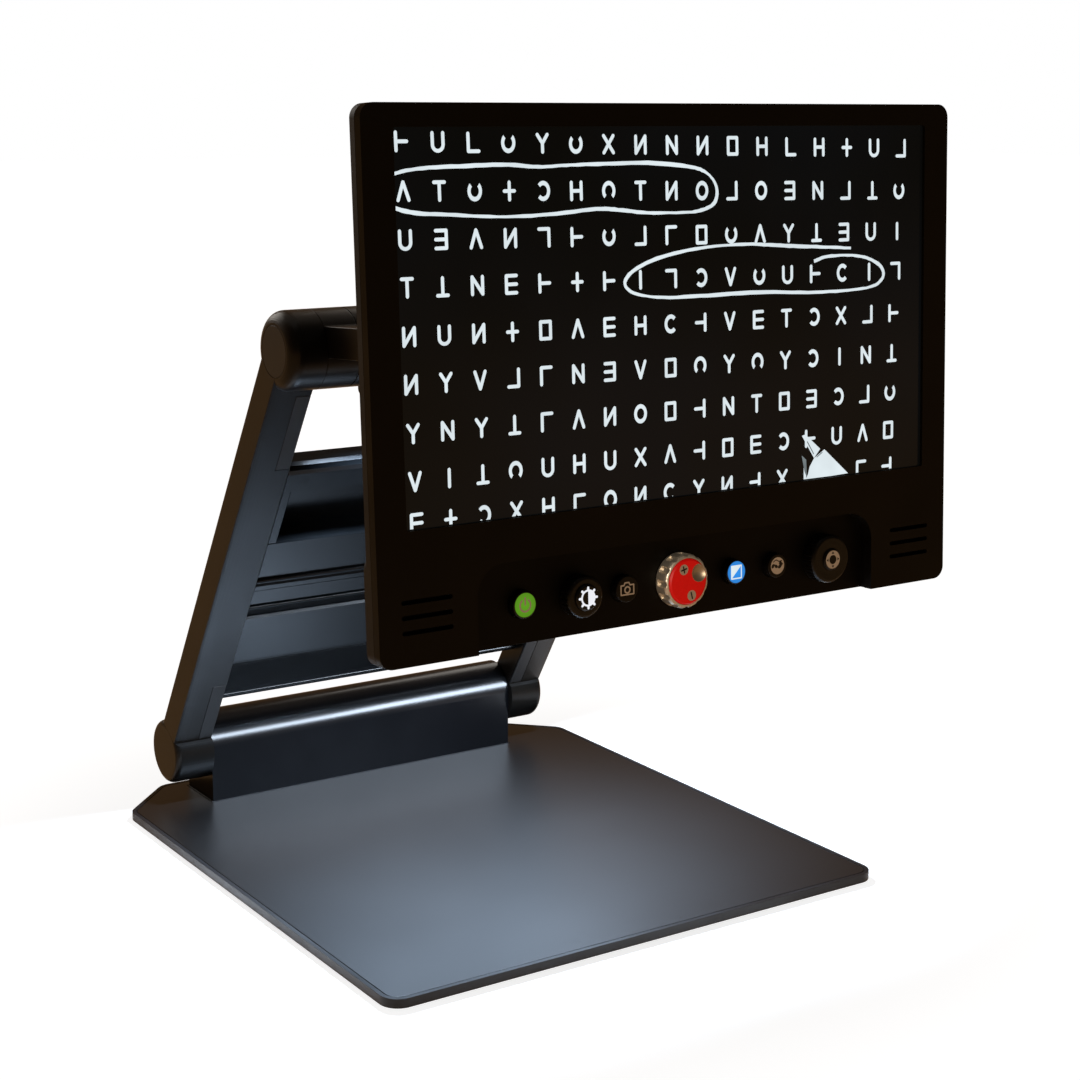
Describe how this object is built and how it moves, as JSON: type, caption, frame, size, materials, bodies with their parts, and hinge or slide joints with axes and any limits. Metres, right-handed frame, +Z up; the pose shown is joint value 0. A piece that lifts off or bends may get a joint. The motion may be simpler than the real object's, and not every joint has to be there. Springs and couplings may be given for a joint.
{
  "type": "low vision magnifier",
  "caption": "Folding desktop reading magnifier: flat base, leaning arms with a camera crossbar, and a wide monitor on links with dials and keys under the display.",
  "frame": {"origin": "on the desk under the middle of the object's footprint box", "axes": "+X to the reader's right, +Y away from the reader towards the rear housing, +Z up"},
  "size_m": [0.42, 0.4541, 0.5182],
  "materials": {
    "plate_paint": "fine satin powder coat",
    "mat_skin": "fine satin grain",
    "foot_rubber": "matte",
    "steel": "ground",
    "arm_shell": "satin, fine grain",
    "housing_shell": "satin, fine grain",
    "panel_shell": "satin",
    "trim_shell": "satin",
    "bush_bronze": "sintered",
    "circuit_board": "solder mask",
    "port_metal": "plated",
    "camera_black": "anodised look",
    "lens_glass": "coated",
    "window_glass": "clear",
    "diffuser": "frosted",
    "bezel_plastic": "fine grain",
    "back_plastic": "coarse grain",
    "display_glass": "anti-glare",
    "display_frame": "stamped",
    "speaker_black": "fabric cone",
    "tray_plastic": "smooth satin",
    "green_key": "satin",
    "dark_key": "satin",
    "blue_key": "translucent satin",
    "dial_black": "satin",
    "cap_pale": "satin",
    "ring_silver": "satin plated",
    "face_red": "gloss",
    "cap_black": "gloss"
  },
  "bodies": {
    "base": {"base_plate": "plate_paint", "reading_mat": "mat_skin", "base_feet": "foot_rubber", "base_screws": "steel", "rear_housing": "housing_shell", "housing_back_cover": "trim_shell", "power_inlet": "camera_black", "data_port": "port_metal", "power_board": "circuit_board", "counter_springs": "steel", "lower_hinge_shafts": "steel"},
    "arms": {"left_arm": "arm_shell", "right_arm": "arm_shell", "left_foot_knuckle": "arm_shell", "right_foot_knuckle": "arm_shell", "left_knuckle_cap": "trim_shell", "right_knuckle_cap": "trim_shell", "upper_cover_strips": "trim_shell", "lower_cover_strips": "trim_shell", "arm_spines": "steel", "back_panel": "panel_shell", "crossbar_tube": "arm_shell", "crossbar_ends": "camera_black", "upper_hinge_shafts": "steel", "camera_head": "arm_shell", "camera_board": "circuit_board", "lens_barrel": "camera_black", "lens_glass": "lens_glass", "camera_window": "window_glass", "light_bars": "arm_shell", "led_boards": "circuit_board", "light_diffusers": "diffuser"},
    "links": {"left_link": "arm_shell", "right_link": "arm_shell", "link_bushes": "bush_bronze", "link_brace": "trim_shell"},
    "tilt_shaft": {"tilt_bar": "steel", "tilt_bar_collars": "trim_shell"},
    "monitor": {"left_hinge_bracket": "camera_black", "right_hinge_bracket": "camera_black", "monitor_bezel": "bezel_plastic", "display_glass": "display_glass", "display_module": "display_frame", "monitor_back": "back_plastic", "back_screws": "steel", "main_board": "circuit_board", "speakers": "speaker_black", "control_tray": "tray_plastic", "control_board": "circuit_board", "dial_encoders": "port_metal"},
    "power_key": {"power_button": "green_key"},
    "camera_key": {"camera_button": "dark_key"},
    "contrast_key": {"contrast_button": "blue_key"},
    "locator_key": {"locator_button": "dark_key"},
    "brightness_knob": {"brightness_dial": "dial_black", "brightness_cap": "cap_pale"},
    "zoom_knob": {"zoom_dial": "ring_silver", "zoom_face": "face_red"},
    "arrow_knob": {"arrow_dial": "dial_black", "arrow_cap": "cap_black"}
  },
  "joints": [
    {"name": "arm_fold", "type": "hinge", "parent": "base", "child": "arms", "pos_m": [0, 0.19, 0.047], "axis": [1, 0, 0], "range_deg": [0, 56.5]},
    {"name": "link_swing", "type": "hinge", "parent": "arms", "child": "links", "pos_m": [0, -0.00411, 0.36376], "axis": [1, 0, 0], "range_deg": [-221, 0]},
    {"name": "bar_turn", "type": "hinge", "parent": "links", "child": "tilt_shaft", "pos_m": [0, -0.17141, 0.37994], "axis": [1, 0, 0], "range_deg": [0, 77]},
    {"name": "screen_tilt", "type": "hinge", "parent": "tilt_shaft", "child": "monitor", "pos_m": [0, -0.17141, 0.37994], "axis": [-1, 0, 0], "range_deg": [-6, 15]},
    {"name": "power_press", "type": "slide", "parent": "monitor", "child": "power_key", "axis": [0, 0.9985, -0.0541], "range_m": [0, 0.0012], "stiffness_N_per_m": 400},
    {"name": "camera_press", "type": "slide", "parent": "monitor", "child": "camera_key", "axis": [0, 0.9985, -0.0541], "range_m": [0, 0.0012], "stiffness_N_per_m": 400},
    {"name": "contrast_press", "type": "slide", "parent": "monitor", "child": "contrast_key", "axis": [0, 0.9985, -0.0541], "range_m": [0, 0.0012], "stiffness_N_per_m": 400},
    {"name": "locator_press", "type": "slide", "parent": "monitor", "child": "locator_key", "axis": [0, 0.9985, -0.0541], "range_m": [0, 0.0012], "stiffness_N_per_m": 400},
    {"name": "brightness_turn", "type": "hinge", "parent": "monitor", "child": "brightness_knob", "pos_m": [-0.0735, -0.21976, 0.23985], "axis": [0, -0.9985, 0.0541], "continuous": true},
    {"name": "zoom_turn", "type": "hinge", "parent": "monitor", "child": "zoom_knob", "pos_m": [0, -0.21976, 0.23985], "axis": [0, -0.9985, 0.0541], "continuous": true},
    {"name": "arrow_turn", "type": "hinge", "parent": "monitor", "child": "arrow_knob", "pos_m": [0.113, -0.21976, 0.23985], "axis": [0, -0.9985, 0.0541], "continuous": true}
  ],
  "couplings": [
    {"joint": "link_swing", "follows": "arm_fold", "ratio": -3.9},
    {"joint": "bar_turn", "follows": "arm_fold", "ratio": 1.36}
  ]
}
